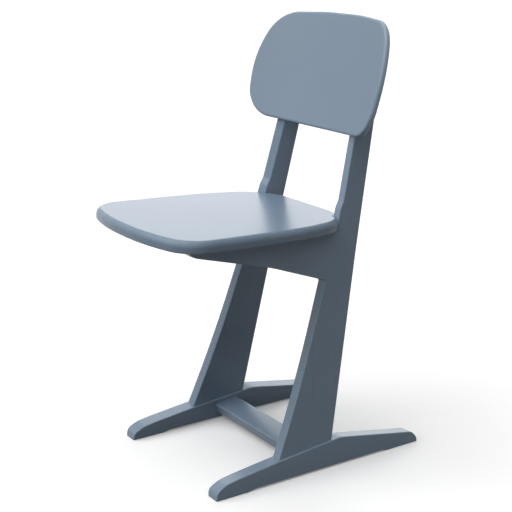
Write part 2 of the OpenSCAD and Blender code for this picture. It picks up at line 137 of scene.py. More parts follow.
# Closed mesh over rings of equally many points, with a cap on the first and last ring;
# arris says for each ring how far it lies on a rounded edge
def ringedMesh(name, rings, arris):
    mesh = bpy.data.meshes.new(name)
    count = len(rings[0])
    vertices = [Vector(p) * millimetre for ring in rings for p in ring]
    faces = []
    for j in range(len(rings) - 1):
        for i in range(count):
            k = (i + 1) % count
            faces.append((j * count + i, j * count + k, (j + 1) * count + k, (j + 1) * count + i))
    last = (len(rings) - 1) * count
    faces.append(tuple(range(count - 1, -1, -1)))
    faces.append(tuple(last + i for i in range(count)))
    mesh.from_pydata(vertices, [], faces)
    wear = mesh.attributes.new("arris", "FLOAT", "POINT")
    for j, ring in enumerate(rings):
        for i in range(count):
            wear.data[j * count + i].value = arris[j]
    return inScene(name, mesh)


# Merges doubles, turns every face outward and shades smooth up to an angle
def finishMesh(piece, angle=32, nearest=1e-6):
    work = bmesh.new()
    work.from_mesh(piece.data)
    bmesh.ops.remove_doubles(work, verts=work.verts, dist=nearest)
    bmesh.ops.recalc_face_normals(work, faces=work.faces)
    work.to_mesh(piece.data)
    work.free()
    piece.data.shade_smooth()
    piece.data.set_sharp_from_angle(angle=radians(angle))
    piece.data.update()


# Exact normals on a plate's faces; where the mesh's own differ, on the rounded edge, those stay
def setNormals(piece, normalAt, leastMatch=0.985):
    normals = []
    for vertex in piece.data.vertices:
        exact = normalAt(vertex.co / millimetre)
        square = exact.dot(vertex.normal)
        if abs(square) > leastMatch:
            normals.append(exact if square > 0 else -exact)
        else:
            normals.append(Vector((0, 0, 0)))
    piece.data.normals_split_custom_set_from_vertices(normals)


# Makes the piece a plain mesh with its modifiers worked in
def applied(piece):
    bpy.context.view_layer.update()
    evaluated = piece.evaluated_get(bpy.context.evaluated_depsgraph_get())
    result = bpy.data.meshes.new_from_object(evaluated)
    piece.modifiers.clear()
    old = piece.data
    piece.data = result
    bpy.data.meshes.remove(old)


# Mirror image of a left piece for the right side
def mirrored(piece, name):
    copy = piece.copy()
    copy.data = piece.data.copy()
    copy.name = name
    copy.data.name = name
    bpy.context.scene.collection.objects.link(copy)
    copy.data.transform(Matrix.Scale(-1, 4, (1, 0, 0)))
    copy.data.flip_normals()
    return copy


# From the leaning board (distance out from its outer face, y, height in the board) to the frame
def fromBoard(x, y, z):
    s = radians(chair["splay"])
    return (chair["stanceWidth"] / 2 + x * cos(s) - z * sin(s), y, x * sin(s) + z * cos(s))


# Height in the board of a point that is z above the floor, x out from the outer face
def boardHeight(x, z):
    s = radians(chair["splay"])
    return (z - x * sin(s)) / cos(s)


# x of the plane that lies so deep in the board, at a height above the floor
def faceX(depth, z):
    s = radians(chair["splay"])
    return chair["stanceWidth"] / 2 - depth / cos(s) - z * tan(s)


runner = {
    "frontReach": 175,
    "crestHeight": 49.6,
    "ledgeWidth": 4,
    "reliefHeight": 3,
    "frontPad": 62,
    "rearPad": 69,
    "padSlope": 14,
    "arrisRadius": 1.8,
    "footCorners": (3, 4),     # the leg stands between these two of the corners below
    "topCorners": [            # share of the length, share of the crest height, radius as a share of it
        (0, 0.292, 0.4),
        (0.047, 0.488, 0.8),
        (0.106, 0.569, 6),
        (0.298, 0.76, 4),
        (0.6, 1, 1.2),
        (0.974, 0.419, 0.36),
        (1, 0.161, 0.28),
    ],
}


def runnerCorner(i):
    along, up, radius = runner["topCorners"][i]
    crest = runner["crestHeight"]
    return (mix(-runner["frontReach"], chair["depth"] / 2, along), crest * up, crest * radius)


# Height of the joint between leg and runner
def jointHeight(y):
    a, b = (runnerCorner(i) for i in runner["footCorners"])
    return mix(a[1], b[1], (y - a[0]) / (b[0] - a[0]))


backrest = {
    "width": 370,
    "length": 201,
    "thickness": 10,
    "hollowRadius": 470,
    "lean": 16.2,
    "lowerEdge": 561.2,
    "arrisRadius": 4,
    "corners": [          # shares of half the width and of the length, radius as a share of half the width
        (0.834, 0, 0.26),
        (0.966, 0.167, 0.3),
        (1.003, 0.542, 0.96),
        (0.817, 0.947, 0.386),
        (0.246, 1, 2.91),
    ],
    "arrisSteps": 6,
    "rings": 14,
}

sideFrame = {
    "footFront": 49,
    "footRear": 62,
    "forkHeight": 329,
    "forkBack": 60,
    "forkRadius": 5,
    "armReach": 206,
    "kneeHeight": 380,
    "kneeBack": 128,
    "topDrop": 27,        # below the backrest's upper edge
    "topBack": 203,
    "lowDepth": 43,
    "middleDepth": 37.5,
    "topDepth": 25,
    "flare": 4,
    "flareHeight": 27,
    "flareRunOut": 40,    # above the flare, for the last line that its curve touches
    "uprightStart": 30,   # above the flare, where the even steps up the front are counted from
    "uprightSteps": (2, 30),
    "frontBevel": 9,
    "arrisRadius": 1.8,
    "legBend": (0.516, 0.459, 2500),
    "armBend": (0.398, 0.413, 300),
    "armNose": (0.952, 0.838, 50),
    "flareCurve": (0.57, 0.88, 20),
    "kneeRadius": 6000,
    "topRadius": 5,
}
backLean = radians(backrest["lean"])
topHeight = backrest["lowerEdge"] + backrest["length"] * cos(backLean) - sideFrame["topDrop"]


def rearEdge(z):
    f = sideFrame
    if z < f["kneeHeight"]:
        foot = jointHeight(f["footRear"])
        return mix(f["footRear"], f["kneeBack"], (z - foot) / (f["kneeHeight"] - foot))
    return mix(f["kneeBack"], f["topBack"], (z - f["kneeHeight"]) / (topHeight - f["kneeHeight"]))


def uprightFront(z):
    f, low, high = sideFrame, chair["seatHeight"], backrest["lowerEdge"]
    if z < high:
        return rearEdge(z) - mix(f["lowDepth"], f["middleDepth"], (z - low) / (high - low))
    return rearEdge(z) - mix(f["middleDepth"], f["topDepth"], (z - high) / (topHeight - high))


# Where the uprights' fronts meet the seat
seatRear = rearEdge(chair["seatHeight"]) - sideFrame["lowDepth"] - sideFrame["flare"]


def seatTop(y):
    return chair["seatHeight"] + (seatRear - y) * tan(radians(chair["seatTilt"]))


def seatUnder(y):
    return seatTop(y) - chair["seatThickness"] / cos(radians(chair["seatTilt"]))


# How far the backrest's surface lies behind the middle of its front, at x and a depth in the plate
def hollow(x, depth):
    r = backrest["hollowRadius"]
    return sqrt((r + depth) ** 2 - x ** 2) - r


backHollow = hollow(faceX(0, backrest["lowerEdge"]), backrest["thickness"])
backY = uprightFront(backrest["lowerEdge"]) - backHollow / cos(backLean)


# Point n behind the middle of the backrest's lower edge and s up along the plate
def behindEdge(n, s):
    return (
        backY + n * cos(backLean) + s * sin(backLean),
        backrest["lowerEdge"] - n * sin(backLean) + s * cos(backLean))


# Point of the curved plate, from its flat outline and a depth
def backPoint(x, s, depth):
    r = backrest["hollowRadius"]
    a = asin(x / r)
    return ((r + depth) * sin(a), *behindEdge((r + depth) * cos(a) - r, s))


# y of the backrest's rear surface at a point's x and height
def backRear(x, z):
    n = hollow(x, backrest["thickness"])
    return behindEdge(n, (z - backrest["lowerEdge"] + n * sin(backLean)) / cos(backLean))[0]


# Side frame's outline at x out from the outer face, as (y, height in the board)
def frameOutline(x):
    f = sideFrame
    tuck = chair["tuck"]
    foot = (-f["footFront"], jointHeight(-f["footFront"]))
    fork = (f["forkBack"], f["forkHeight"])
    tip = (-f["armReach"], seatUnder(-f["armReach"]))
    level = cos(radians(chair["splay"]))

    def board(y, z, radius=0):
        return (y, z / level, radius)

    def between(a, b, shares):
        return board(mix(a[0], b[0], shares[0]), mix(a[1], b[1], shares[1]), shares[2])

    def underSeat(y):
        return (y, boardHeight(x, seatUnder(y) + tuck), 0)

    corners = [
        board(foot[0] - tuck / 2, foot[1] - 2 * tuck),
        between(foot, fork, f["legBend"]),
        board(fork[0], fork[1], f["forkRadius"]),
        between(fork, tip, f["armBend"]),
        between(fork, tip, f["armNose"]),
        underSeat(tip[0]),
    ]
    shift = -x * tan(radians(f["frontBevel"]))
    middle = chair["seatHeight"] + f["flareHeight"] * f["flareCurve"][0]
    high = chair["seatHeight"] + f["flareHeight"]
    middleY = uprightFront(middle) - f["flare"] * f["flareCurve"][1]
    low = seatUnder(seatRear) + tuck
    lowY = mix(middleY, seatRear, (middle - low) / (middle - chair["seatHeight"]))
    corners += [
        underSeat(lowY + shift),
        board(middleY + shift, middle, f["flareCurve"][2]),
        board(uprightFront(high) + shift, high, f["flareCurve"][2]),
    ]
    runOut = high + f["flareRunOut"]
    outline = roundedOutline(corners + [board(uprightFront(runOut) + shift, runOut)])
    firstStep, lastStep = f["uprightSteps"]
    for i in range(firstStep, lastStep + 1):
        z = mix(high + f["uprightStart"], topHeight, i / lastStep)
        place = fromBoard(x, 0, z / level)
        y = uprightFront(z) + shift
        if z > backrest["lowerEdge"]:
            y = max(y, backRear(place[0], place[2]) - tuck / 2)
        outline.append((y, z / level))
    outline += roundedOutline([
        (outline[-1][0], outline[-1][1], 0),
        board(rearEdge(topHeight), topHeight, f["topRadius"]),
        board(f["kneeBack"], f["kneeHeight"], f["kneeRadius"]),
        board(f["footRear"] - tuck / 2, jointHeight(f["footRear"]) - 2 * tuck),
    ])[1:]
    return outline[::-1]


# Rings over a leaning board between two depths, with rounded edges and a holding ring beside each
def boardRings(outlineAt, outer, inner, radius, steps=4, hold=0.4):
    rings, arris = [], []
    thickness = outer - inner
    outerEdge = edgeSteps(radius, steps, hold)
    innerEdge = [(e, thickness - depth, share) for e, depth, share in reversed(outerEdge)]
    for e, depth, share in outerEdge + innerEdge:
        x = outer - depth
        rings.append([fromBoard(x, y, z) for y, z in drawnIn(outlineAt(x), e)])
        arris.append(sin(pi * share))
    return rings, arris


rings, arris = boardRings(frameOutline, 0, -chair["boardThickness"], sideFrame["arrisRadius"])
leftFrame = ringedMesh("leftSideFrame", rings, arris)
print("scene: side frames made")


def runnerOutline(x):
    level = cos(radians(chair["splay"]))
    reach, rear = runner["frontReach"], chair["depth"] / 2
    pad, heel = -reach + runner["frontPad"], rear - runner["rearPad"]
    lift = runner["reliefHeight"]
    top = [(y, z / level, radius) for y, z, radius in map(runnerCorner, range(len(runner["topCorners"])))]
    floorPoints = [
        (rear, 0),
        (heel, 0),
        (heel - runner["padSlope"], lift),
        (pad + runner["padSlope"], lift),
        (pad, 0),
        (-reach, 0),
    ]
    outline = roundedOutline(top + [(y, boardHeight(x, z), 0) for y, z in floorPoints])
    return outline[::-1]


ledge = runner["ledgeWidth"]
rings, arris = boardRings(runnerOutline, ledge, -chair["boardThickness"] - ledge, runner["arrisRadius"])
leftRunner = ringedMesh("leftRunner", rings, arris)
print("scene: runners made")

stretcher = {
    "depth": 45,
    "thickness": 18,
    "tilt": 9,
    "clearHeight": 14,
    "arrisRadius": 2.5,
    "arrisSteps": 6,
}


def makeStretcher():
    d, t, r, steps = (stretcher[key] for key in ("depth", "thickness", "arrisRadius", "arrisSteps"))
    a = radians(stretcher["tilt"])
    middle = (d / 2 * cos(a), stretcher["clearHeight"] + d / 2 * sin(a) + t / 2 * cos(a))
    corners = [(u * d / 2, v * t / 2, r) for u, v in ((-1, -1), (1, -1), (1, 1), (-1, 1))]
    section = roundedOutline(corners, steps)
    ends = []
    for side in (-1, 1):
        ring = []
        for u, v in section:
            y, z = middle[0] + u * cos(a) - v * sin(a), middle[1] + u * sin(a) + v * cos(a)
            reach = faceX(chair["boardThickness"] + runner["ledgeWidth"], z) + chair["tuck"]
            ring.append((side * reach, y, z))
        ends.append(ring)
    board = ringedMesh("stretcherBoard", ends, [0, 0])
    for i, wear in enumerate(board.data.attributes["arris"].data):
        wear.value = sin(pi * (i % len(section) % (steps + 1)) / steps)
    return board


stretcherBoard = makeStretcher()

seat = {
    "width": 328,
    "rear": 121,
    "upperRadius": 11.9,
    "upperCrease": 22,
    "lowerRadius": 3,
    "notchGap": 0.4,
    "notchRear": 300,     # how far the notches' cutters run, clear of the seat
    "notchHeights": (300, 600),
    "corners": [          # shares of half the width and of the depth, radius as a share of half the width
        (0.407, 0, 2.51),
        (1.003, 0.073, 0.349),
        (0.996, 0.421, 2.75),
        (0.974, 0.668, 1.913),
        (0.796, 1, 0.558),
    ],
}


# Rounded outline from the corners of its left half, with points at an even distance along it; the corners
# are shares of half the width and of the way from low to high
def plateOutline(shares, halfWidth, low, high, apart=4, cornerSteps=40):
    corners = [(halfWidth * u, mix(low, high, v), halfWidth * r) for u, v, r in shares]
    points = roundedOutline(corners + [(-x, y, r) for x, y, r in reversed(corners)], cornerSteps)
    points.append(points[0])
    along = [0]
    for a, b in zip(points, points[1:]):
        along.append(along[-1] + sqrt((b[0] - a[0]) ** 2 + (b[1] - a[1]) ** 2))
    count = round(along[-1] / apart)
    even, k = [], 0
    for i in range(count):
        target = along[-1] * i / count
        while along[k + 1] < target:
            k += 1
        a, b = points[k], points[k + 1]
        t = (target - along[k]) / max(1e-9, along[k + 1] - along[k])     # never a division by nothing
        even.append((mix(a[0], b[0], t), mix(a[1], b[1], t)))
    return even


# Rings over a plate with rounded edges on its face and its back; inner is how many more rings
# run in over each of the two, the first one at a share of a step from the middle
def plateRings(outline, thickness, radii, place, steps=8, inner=0, hold=0.6, crease=0, firstRing=0.4):
    middle = (0, sum(p[1] for p in outline) / len(outline))

    def addFace(radius, depthOf, crease):
        inside = drawnIn(outline, radius + hold)
        made = []
        for i in range(inner):
            share = (i + firstRing) / inner
            ring = [place(mix(middle[0], x, share), mix(middle[1], y, share), depthOf(0)) for x, y in inside]
            made.append((ring, 0))
        for e, depth, share in edgeSteps(radius, steps, hold, crease):
            ring = [place(x, y, depthOf(depth)) for x, y in drawnIn(outline, e)]
            made.append((ring, sin(pi * share)))
        return made

    made = addFace(radii[0], lambda d: d, crease) + addFace(radii[1], lambda d: thickness - d, 0)[::-1]
    return [ring for ring, wear in made], [wear for ring, wear in made]


# Point of the tilted seat, from its outline and a depth
def seatPoint(x, y, depth):
    a = radians(-chair["seatTilt"])
    u, v = y - seatRear, -depth
    return (x, seatRear + u * cos(a) - v * sin(a), chair["seatHeight"] + u * sin(a) + v * cos(a))


seatOutline = plateOutline(seat["corners"], seat["width"] / 2, -chair["depth"] / 2, seat["rear"])
rings, arris = plateRings(
    seatOutline, chair["seatThickness"], (seat["upperRadius"], seat["lowerRadius"]), seatPoint,
    crease=radians(seat["upperCrease"]))
seatPanel = ringedMesh("seatPanel", rings, arris)

backOutline = plateOutline(backrest["corners"], backrest["width"] / 2, 0, backrest["length"])
rings, arris = plateRings(
    backOutline, backrest["thickness"], (backrest["arrisRadius"], backrest["arrisRadius"]), backPoint,
    backrest["arrisSteps"], backrest["rings"])
backPanel = ringedMesh("backPanel", rings, arris)
print("scene: seat and backrest made")


# Block in the leaning board's frame, used to cut
def boardBlock(low, high):
    mesh = bpy.data.meshes.new("cutter")
    corners = [
        fromBoard(x, y, z)
        for x in (low[0], high[0]) for y in (low[1], high[1]) for z in (low[2], high[2])]
    faces = [(0, 1, 3, 2), (4, 6, 7, 5), (0, 4, 5, 1), (2, 3, 7, 6), (0, 2, 6, 4), (1, 5, 7, 3)]
    mesh.from_pydata([Vector(p) * millimetre for p in corners], [], faces)
    return inScene("cutter", mesh)


def cutAway(piece, cutters):
    for cutter in cutters:
        cut = piece.modifiers.new("cut", "BOOLEAN")
        cut.operation = "DIFFERENCE"
        cut.solver = "EXACT"
        cut.object = cutter
    applied(piece)
    for cutter in cutters:
        bpy.data.objects.remove(cutter)


for piece in (leftFrame, leftRunner, stretcherBoard, seatPanel, backPanel):
    finishMesh(piece)


# Square to the backrest's faces: away from the axis of their curve
def backNormal(point):
    axis = Vector((0, sin(backLean), cos(backLean)))
    out = Vector(point) - Vector((0, *behindEdge(-backrest["hollowRadius"], 0)))
    return (out - axis * out.dot(axis)).normalized()


setNormals(backPanel, backNormal)

fasteners = {
    "screwDiameter": 4.5,
    "headDiameter": 8.4,
    "headHeight": 3,
    "headRim": 3.1,                   # radius of the flat on the head
    "recessAcross": 4.5,
    "threadPitch": 2.5,
    "threadShare": 0.6,
    "sinkDiameter": 10,
    "plugGap": 0.1,
    "plugChamfer": 0.35,
    "runnerScrewLength": 45,
    "runnerSink": 16,
    "runnerShares": (0.12, 0.87),     # of the foot's depth
    "seatScrewLength": 32,
    "seatScrewInSeat": 0.42,
    "seatShares": (0.22, 0.63),       # from the arm's tip to the upright
    "backScrewLength": 20,
    "backScrewInPanel": 0.35,
    "backShares": (0.23, 0.64),       # of the backrest's length
    "runnerCut": 40,                  # lengths of the cutters, which run out of the boards
    "seatCut": 35,
    "backCut": 30,
    "shankShare": 0.8,                # core of the thread, of the diameter
}
inBoard = -chair["boardThickness"] / 2     # middle of the board's thickness
upTheBoard = (0, -radians(chair["splay"]), 0)
intoTheBack = (pi / 2 - backLean, -radians(chair["splay"]), 0)


# Places of the screws: the underside of each head, in the leaning board
def screwPlaces():
    f = fasteners
    foot = [mix(-sideFrame["footFront"], sideFrame["footRear"], share) for share in f["runnerShares"]]
    arm = [mix(-sideFrame["armReach"], seatRear, share) for share in f["seatShares"]]
    armDrop = f["seatScrewLength"] * (1 - f["seatScrewInSeat"])
    back = []
    for share in f["backShares"]:
        s = backrest["length"] * share
        n = hollow(faceX(-inBoard, backrest["lowerEdge"] + s * cos(backLean)), backrest["thickness"])
        out = n + f["backScrewLength"] * (1 - f["backScrewInPanel"])
        y, z = behindEdge(out, s)
        back.append(fromBoard(inBoard, y, boardHeight(inBoard, z)))
    return {
        "runner": [fromBoard(inBoard, y, f["runnerSink"]) for y in foot],
        "seat": [fromBoard(inBoard, y, boardHeight(inBoard, seatUnder(y)) - armDrop) for y in arm],
        "back": back,
    }


places = screwPlaces()


# Round cutter that sinks a screw's head, from below it up to the underside of the head
def sinkCutter(key, turn, place, sides=40):
    rings = []
    across = fasteners["sinkDiameter"] / 2
    frameTurn = Euler(turn).to_matrix()
    for z in (-fasteners[key + "Cut"], 0):
        turns = [2 * pi * i / sides for i in range(sides)]
        ring = [frameTurn @ Vector((across * cos(a), across * sin(a), z)) for a in turns]
        rings.append([point + Vector(place) for point in ring])
    cutter = ringedMesh("cutter", rings, [0, 0])
    finishMesh(cutter)
    return cutter


def sinkCutters(key, turn):
    return [sinkCutter(key, turn, place) for place in places[key]]


cutAway(leftRunner, sinkCutters("runner", upTheBoard))
cutAway(leftFrame, sinkCutters("seat", upTheBoard) + sinkCutters("back", intoTheBack))
for piece in (leftRunner, leftFrame):
    finishMesh(piece)
print("scene: screw holes cut")

gap = seat["notchGap"]
leftNotch = boardBlock(
    (-chair["boardThickness"] - gap, seatRear - gap, seat["notchHeights"][0]),
    (gap, seat["notchRear"], seat["notchHeights"][1]))
finishMesh(leftNotch)
rightNotch = mirrored(leftNotch, "rightCutter")
cutAway(seatPanel, [leftNotch, rightNotch])
finishMesh(seatPanel)
rightFrame = mirrored(leftFrame, "rightSideFrame")
rightRunner = mirrored(leftRunner, "rightRunner")
print("scene: notches cut")


def feed(tree, node, inputs):
    for key, value in inputs.items():
        if isinstance(value, bpy.types.NodeSocket):
            tree.links.new(value, node.inputs[key])
        else:
            node.inputs[key].default_value = value


def addNode(tree, kind, settings=None, inputs=None):
    node = tree.nodes.new(kind)
    for key, value in (settings or {}).items():
        setattr(node, key, value)
    feed(tree, node, inputs or {})
    return node


def mathNode(tree, operation, a, b, clamp=False):
    settings = {"operation": operation, "use_clamp": clamp}
    return addNode(tree, "ShaderNodeMath", settings, {0: a, 1: b}).outputs[0]


def added(tree, a, b):
    return mathNode(tree, "ADD", a, b)


def less(tree, a, b):
    return mathNode(tree, "SUBTRACT", a, b)


def times(tree, a, b):
    return mathNode(tree, "MULTIPLY", a, b)


# Start plus each value times its share
def weighted(tree, start, *shares):
    total = start
    for value, share in shares:
        total = added(tree, times(tree, value, share), total)
    return total


# Tree of Geometry Nodes that puts one shape at each of the places
def newTree(name, numbers):
    tree = bpy.data.node_groups.new(name, "GeometryNodeTree")
    floats = [(label, "Float") for label in numbers]
    sockets = [("Places", "Geometry")] + floats + [("Turn", "Vector"), ("Finish", "Material")]
    for label, kind in sockets:
        tree.interface.new_socket(name=label, in_out="INPUT", socket_type="NodeSocket" + kind)
    tree.interface.new_socket(name="Mesh", in_out="OUTPUT", socket_type="NodeSocketGeometry")
    return tree, tree.nodes.new("NodeGroupInput").outputs


def joinedParts(tree, parts):
    joined = addNode(tree, "GeometryNodeJoinGeometry")
    for part in parts:
        tree.links.new(part, joined.inputs[0])
    return joined.outputs[0]


def finishTree(tree, given, parts, nearest=0.000005):
    merged = addNode(tree, "GeometryNodeMergeByDistance", None, {
        "Geometry": joinedParts(tree, parts), "Distance": nearest}).outputs[0]
    placed = addNode(tree, "GeometryNodeInstanceOnPoints", None, {
        "Points": given["Places"], "Instance": merged, "Rotation": given["Turn"]}).outputs[0]
    real = addNode(tree, "GeometryNodeRealizeInstances", None, {"Geometry": placed}).outputs[0]
    painted = addNode(tree, "GeometryNodeSetMaterial", None, {
        "Geometry": real, "Material": given["Finish"]}).outputs[0]
    tree.links.new(painted, tree.nodes.new("NodeGroupOutput").inputs[0])
    return tree


def lifted(tree, shape, height):
    offset = addNode(tree, "ShaderNodeCombineXYZ", None, {"Z": height}).outputs[0]
    return addNode(tree, "GeometryNodeTransform", None, {"Geometry": shape, "Translation": offset}).outputs[0]


# Open band of a round piece between two heights
def band(tree, low, high, lowRadius, highRadius, sides=32):
    cone = addNode(tree, "GeometryNodeMeshCone", {"fill_type": "NONE"}, {
        "Vertices": sides, "Radius Bottom": lowRadius, "Radius Top": highRadius,
        "Depth": less(tree, high, low)})
    return lifted(tree, cone.outputs["Mesh"], low)


def circle(tree, radius, sides):
    return addNode(tree, "GeometryNodeCurvePrimitiveCircle", None, {
        "Resolution": sides, "Radius": radius}).outputs[0]


# Flat disc, or a ring where it has a hole with so many sides
def disc(tree, height, radius, sides=32, hole=None, holeSides=32):
    rim = circle(tree, radius, sides)
    if hole is not None:
        rim = joinedParts(tree, [rim, circle(tree, hole, holeSides)])
    return lifted(tree, addNode(tree, "GeometryNodeFillCurve", None, {"Curve": rim}).outputs[0], height)


screwShape = {
    "recessSides": 6,
    "recessDepth": 0.5,       # of the head's height
    "shoulderSteps": 3,
    "tipLength": 1.4,         # of the shank's radius
    "tipRadius": 0.0001,      # metres
    "shoulderDrop": 0.5,      # of the head's height
    "threadSteps": 24,        # to a turn
    "threadSides": 4,
    "threadHeight": 0.2,      # of the pitch
}


# Screw along Z, underside of its head at the origin
def makeScrewTree():
    tree, given = newTree("screwRow", [
        "Head Radius", "Head Rim", "Head Height", "Recess Radius", "Shank Radius", "Length",
        "Thread Start", "Thread Pitch"])
    shape, shank, recess = screwShape, given["Shank Radius"], given["Recess Radius"]
    top = times(tree, given["Head Height"], -1)
    floor = times(tree, top, 1 - shape["recessDepth"])
    bulge = less(tree, given["Head Radius"], given["Head Rim"])
    tip = less(tree, given["Length"], times(tree, shank, shape["tipLength"]))
    parts = [
        disc(tree, top, given["Head Rim"], hole=recess, holeSides=shape["recessSides"]),
        band(tree, top, floor, recess, recess, shape["recessSides"]),
        disc(tree, floor, recess, shape["recessSides"]),
    ]
    low, lowRadius = top, given["Head Rim"]
    for i in range(shape["shoulderSteps"]):
        turn = pi / 2 * (i + 1) / shape["shoulderSteps"]
        high = times(tree, top, 1 - shape["shoulderDrop"] * (1 - cos(turn)))
        highRadius = added(tree, times(tree, bulge, sin(turn)), given["Head Rim"])
        parts.append(band(tree, low, high, lowRadius, highRadius))
        low, lowRadius = high, highRadius
    threaded = less(tree, tip, given["Thread Start"])
    spiral = addNode(tree, "GeometryNodeCurveSpiral", None, {
        "Resolution": shape["threadSteps"],
        "Rotations": mathNode(tree, "DIVIDE", threaded, given["Thread Pitch"]),
        "Start Radius": shank, "End Radius": shank, "Height": threaded}).outputs[0]
    upright = addNode(tree, "GeometryNodeSetCurveNormal", {"mode": "Z_UP"}, {"Curve": spiral}).outputs[0]
    ridge = circle(tree, times(tree, given["Thread Pitch"], shape["threadHeight"]), shape["threadSides"])
    thread = addNode(tree, "GeometryNodeCurveToMesh", None, {
        "Curve": upright, "Profile Curve": ridge, "Fill Caps": True}).outputs[0]
    return finishTree(tree, given, parts + [
        band(tree, low, 0.0, given["Head Radius"], given["Head Radius"]),
        disc(tree, 0.0, given["Head Radius"], hole=shank),
        band(tree, 0.0, tip, shank, shank),
        band(tree, tip, given["Length"], shank, shape["tipRadius"]),
        disc(tree, given["Length"], shape["tipRadius"]),
        lifted(tree, thread, given["Thread Start"]),
    ])


# Plug with a chamfered outer end that is cut along the board's sloping edge
def makePlugTree():
    tree, given = newTree("plugRow", ["Radius", "Chamfer", "Inner End", "Outer End", "End Slope"])
    shoulder = added(tree, given["Outer End"], given["Chamfer"])
    face = less(tree, given["Radius"], given["Chamfer"])
    middle = times(tree, added(tree, given["Inner End"], given["Outer End"]), 0.5)
    parts = [
        disc(tree, given["Outer End"], face),
        band(tree, given["Outer End"], shoulder, face, given["Radius"]),
        band(tree, shoulder, given["Inner End"], given["Radius"], given["Radius"]),
        disc(tree, given["Inner End"], given["Radius"]),
    ]
    place = addNode(tree, "GeometryNodeInputPosition").outputs[0]
    apart = addNode(tree, "ShaderNodeSeparateXYZ", None, {0: place}).outputs
    outer = mathNode(tree, "LESS_THAN", apart["Z"], middle)
    rise = times(tree, times(tree, apart["Y"], given["End Slope"]), outer)
    offset = addNode(tree, "ShaderNodeCombineXYZ", None, {"Z": rise}).outputs[0]
    return finishTree(tree, given, [
        addNode(tree, "GeometryNodeSetPosition", None, {"Geometry": part, "Offset": offset}).outputs[0]
        for part in parts])


# Row of one shape at the given places, made a plain mesh
def makeRow(name, tree, spots, turn, sizes, finish, shadeAngle=25):
    mesh = bpy.data.meshes.new(name)
    mesh.from_pydata([Vector(spot) * millimetre for spot in spots], [], [])
    piece = inScene(name, mesh)
    row = piece.modifiers.new("row", "NODES")
    row.node_group = tree
    given = {key: float(value) for key, value in sizes.items()}
    given.update({"Turn": [float(part) for part in turn], "Finish": finish})
    for socket in tree.interface.items_tree:
        if socket.in_out == "INPUT" and socket.name in given:
            row[socket.identifier] = given[socket.name]
    applied(piece)
    finishMesh(piece, shadeAngle)
    return piece


# Shader group with a vector, the named numbers and one result
def newGroup(name, numbers, result):
    group = bpy.data.node_groups.new(name, "ShaderNodeTree")
    group.interface.new_socket(name="Vector", in_out="INPUT", socket_type="NodeSocketVector")
    for label in numbers:
        group.interface.new_socket(name=label, in_out="INPUT", socket_type="NodeSocketFloat")
    group.interface.new_socket(name=result, in_out="OUTPUT", socket_type="NodeSocketFloat")
    return group, group.nodes.new("NodeGroupInput").outputs


def finishGroup(group, value):
    group.links.new(value, group.nodes.new("NodeGroupOutput").inputs[0])
    return group


def noise(tree, place, scale, detail, roughness=0.5):
    return addNode(tree, "ShaderNodeTexNoise", None, {
        "Vector": place, "Scale": scale, "Detail": detail, "Roughness": roughness}).outputs


def spread(tree, value, low, high, toLow=0.0, toHigh=1.0):
    return addNode(tree, "ShaderNodeMapRange", {"interpolation_type": "SMOOTHSTEP"}, {
        "Value": value, "From Min": low, "From Max": high, "To Min": toLow, "To Max": toHigh}).outputs["Result"]


# Slow drift of tone over a painted face, around 1
def makeToneDrift():
    group, given = newGroup("toneDrift", ["Amount"], "Tone")
    wide = noise(group, given["Vector"], scale=7.0, detail=2.0)["Fac"]
    close = noise(group, given["Vector"], scale=55.0, detail=3.0, roughness=0.6)["Fac"]
    wideShare, closeShare = 1.4, 0.6
    centred = weighted(group, -1.0, (wide, wideShare), (close, closeShare))
    return finishGroup(group, weighted(group, 1.0, (centred, given["Amount"])))


# Fine lines of the wood below the paint, drawn out along one axis by the Vector's scale
def makeWoodGrain():
    group, given = newGroup("woodGrain", ["Scale"], "Grain")
    slow = noise(group, given["Vector"], scale=25.0, detail=2.0)["Color"]
    sway = (0.02, 0.02, 0.02)
    bent = addNode(group, "ShaderNodeVectorMath", {"operation": "MULTIPLY_ADD"}, {
        0: slow, 1: sway, 2: given["Vector"]})
    lines = noise(group, bent.outputs[0], given["Scale"], detail=4.0, roughness=0.55)["Fac"]
    return finishGroup(group, spread(group, lines, low=0.3, high=0.7))


# Soft pimples that a sprayed or rolled coat leaves
def makeOrangePeel():
    group, given = newGroup("orangePeel", ["Scale"], "Height")
    peel = noise(group, given["Vector"], given["Scale"], detail=1.5, roughness=0.45)["Fac"]
    speck = addNode(group, "ShaderNodeTexVoronoi", {"feature": "SMOOTH_F1"}, {
        "Vector": given["Vector"], "Scale": given["Scale"], "Smoothness": 1.0}).outputs["Distance"]
    speckShare = 0.35
    return finishGroup(group, weighted(group, peel, (speck, speckShare)))


# Rubbed arrises: a broken mask along the rounded edges
def makeEdgeRub():
    group, given = newGroup("edgeRub", ["Edge", "Amount"], "Mask")
    patch = noise(group, given["Vector"], scale=38.0, detail=5.0, roughness=0.65)["Fac"]
    broken = spread(group, patch, low=0.42, high=0.66, toLow=0.25)
    mask = mathNode(group, "MULTIPLY", times(group, given["Edge"], broken), given["Amount"], True)
    return finishGroup(group, mask)


toneDrift, woodGrain, orangePeel, edgeRub = makeToneDrift(), makeWoodGrain(), makeOrangePeel(), makeEdgeRub()


def useGroup(tree, group, inputs):
    return addNode(tree, "ShaderNodeGroup", {"node_tree": group}, inputs).outputs[0]


def newFinish(name):
    material = bpy.data.materials.new(name)
    material.use_nodes = True
    tree = material.node_tree
    place = addNode(tree, "ShaderNodeTexCoord").outputs["Object"]
    return material, tree, tree.nodes["Principled BSDF"], place


def stretched(tree, place, scale, turn=(0.0, 0.0, 0.0)):
    return addNode(tree, "ShaderNodeMapping", None, {
        "Vector": place, "Scale": scale, "Rotation": turn}).outputs["Vector"]


